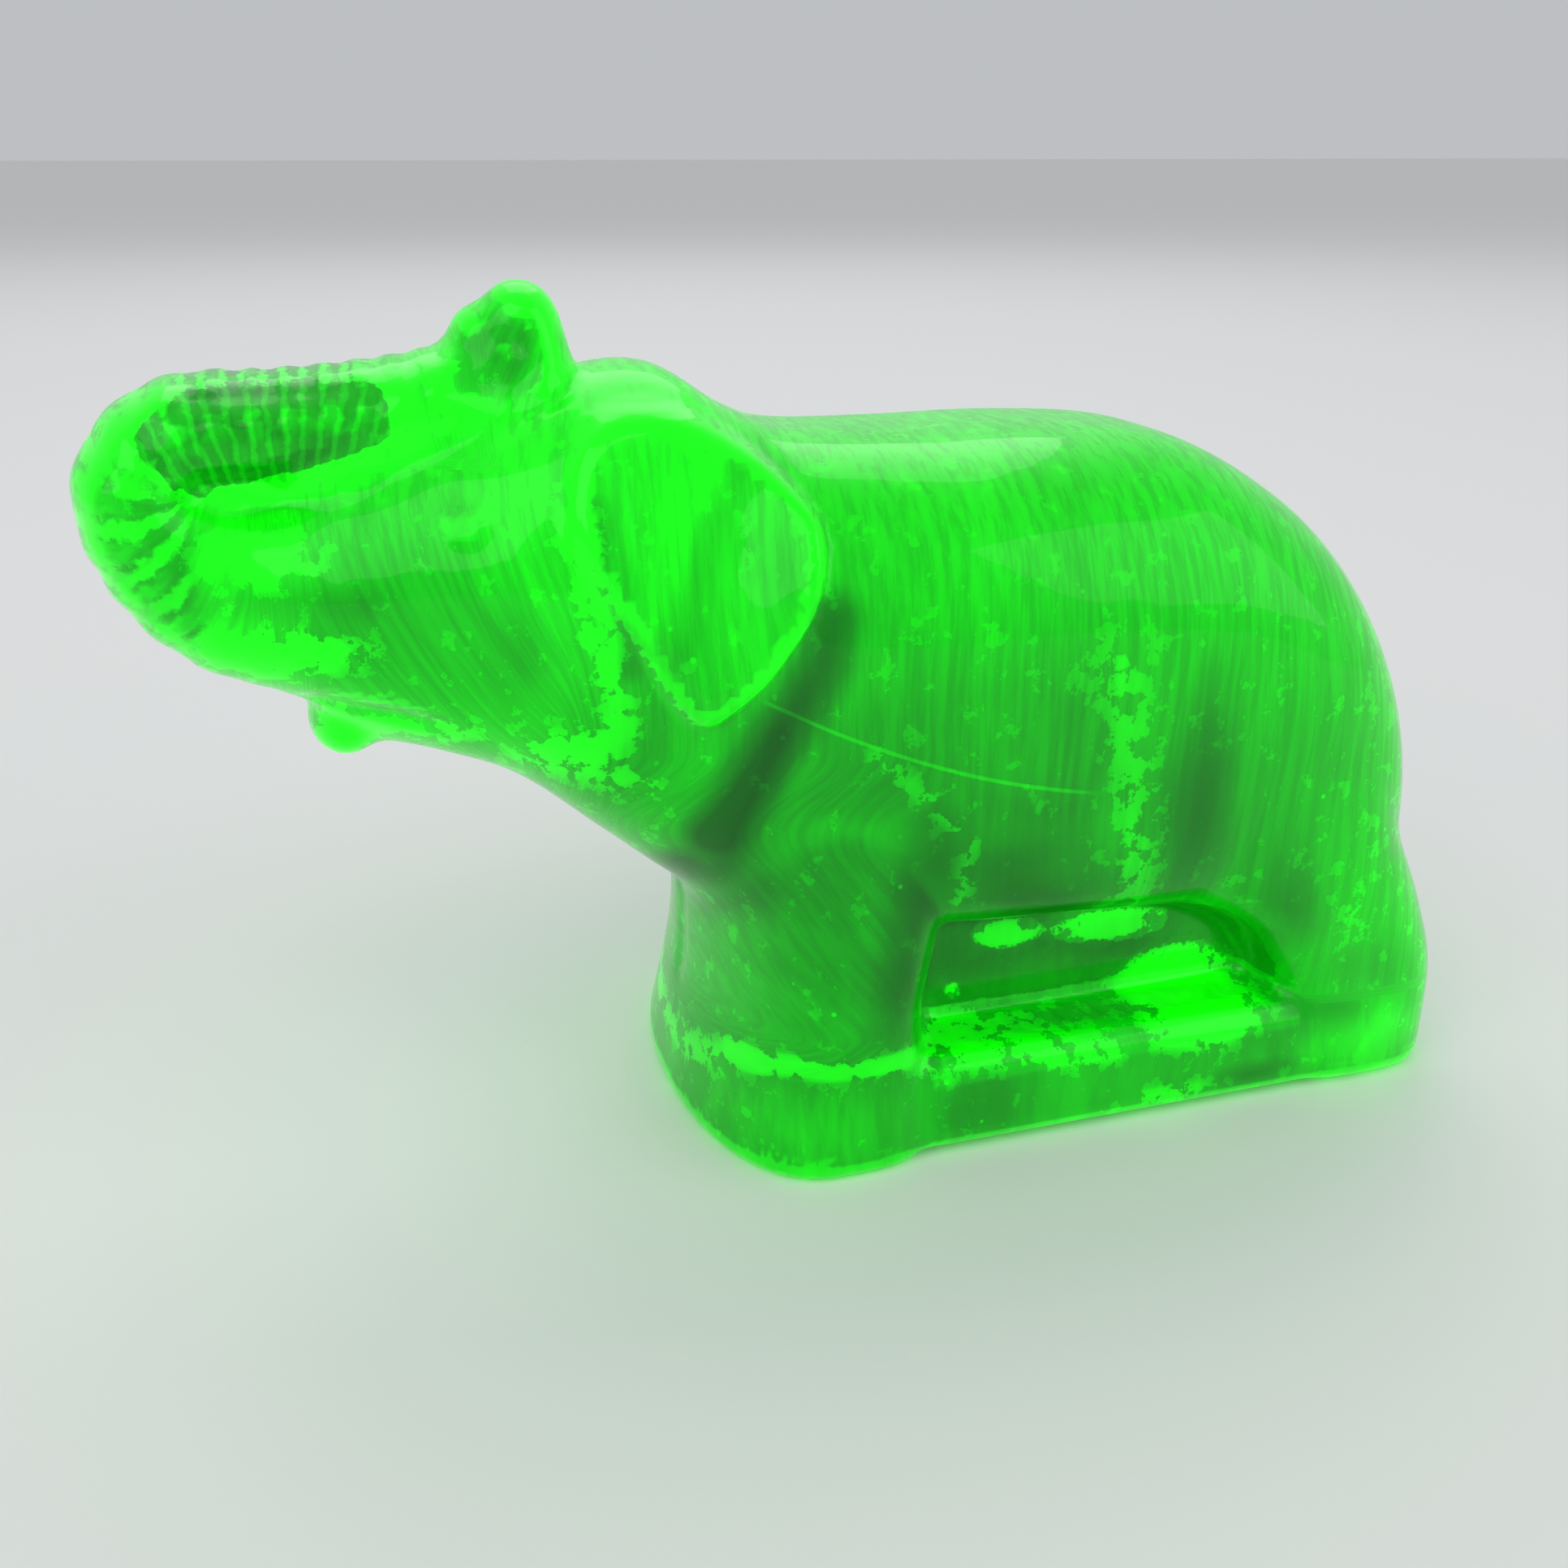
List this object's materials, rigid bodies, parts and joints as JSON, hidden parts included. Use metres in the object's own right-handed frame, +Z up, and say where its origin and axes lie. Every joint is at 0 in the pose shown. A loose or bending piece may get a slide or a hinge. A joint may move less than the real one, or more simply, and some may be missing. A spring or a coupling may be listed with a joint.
{
  "type": "pressed glass elephant figure",
  "caption": "Solid pressed uranium-glass elephant with its trunk curled back on its forehead, standing on a slab that joins its feet.",
  "frame": {"origin": "on the flat underside, below the middle of the bounding box", "axes": "+Z up, the elephant faces -Y, its left side is +X"},
  "size_m": [0.056, 0.1534, 0.095],
  "materials": {
    "uranium_glass": "gloss"
  },
  "bodies": {
    "root": {"glass_elephant": "uranium_glass"}
  },
  "joints": []
}
